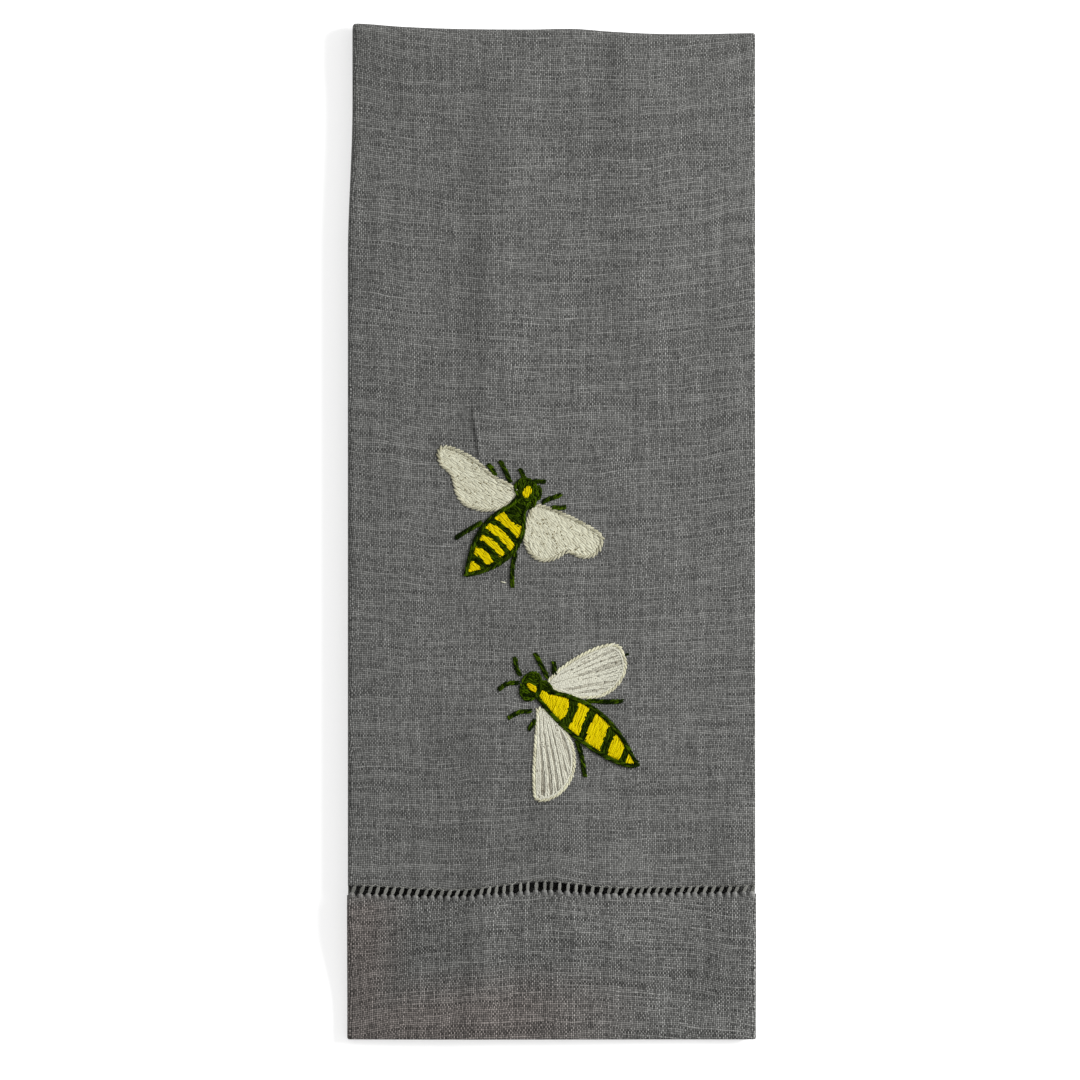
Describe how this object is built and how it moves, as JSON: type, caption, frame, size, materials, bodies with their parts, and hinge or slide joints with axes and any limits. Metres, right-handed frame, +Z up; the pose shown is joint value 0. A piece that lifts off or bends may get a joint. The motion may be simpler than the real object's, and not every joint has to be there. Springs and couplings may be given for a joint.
{
  "type": "folded tea towel with embroidered bees",
  "caption": "Hemstitched linen tea towel folded in thirds and in half, lying face up with embroidered bees on its front, for drying dishes.",
  "frame": {"origin": "middle of the folded towel's underside, on the surface that it lies on", "axes": "+X across the towel, +Y towards its doubled end, away from the deep hem, +Z up out of its front"},
  "size_m": [0.12, 0.2984, 0.01],
  "materials": {
    "linen": "plain weave, slubby, unbleached grey, matt",
    "cream_thread": "stranded cotton embroidery, dense slanting stitches",
    "yellow_thread": "stranded cotton embroidery, satin stitch",
    "green_thread": "stranded cotton embroidery, stem stitch"
  },
  "bodies": {
    "root": {"bee_lower_band_1": "yellow_thread", "bee_lower_band_2": "yellow_thread", "bee_lower_band_3": "yellow_thread", "bee_lower_band_4": "yellow_thread", "bee_lower_band_5": "yellow_thread", "bee_lower_head": "green_thread", "bee_lower_stripe_1": "green_thread", "bee_lower_stripe_2": "green_thread", "bee_lower_stripe_3": "green_thread", "bee_lower_stripe_4": "green_thread", "bee_lower_tail": "green_thread", "bee_lower_thorax": "green_thread", "bee_lower_wing_lower": "cream_thread", "bee_lower_wing_upper": "cream_thread", "bee_upper_band_1": "yellow_thread", "bee_upper_band_2": "yellow_thread", "bee_upper_band_3": "yellow_thread", "bee_upper_band_4": "yellow_thread", "bee_upper_band_5": "yellow_thread", "bee_upper_head": "green_thread", "bee_upper_stripe_1": "green_thread", "bee_upper_stripe_2": "green_thread", "bee_upper_stripe_3": "green_thread", "bee_upper_stripe_4": "green_thread", "bee_upper_tail": "green_thread", "bee_upper_thorax": "green_thread", "bee_upper_wing_left": "cream_thread", "bee_upper_wing_right": "cream_thread", "towel_cloth": "linen"}
  },
  "joints": []
}
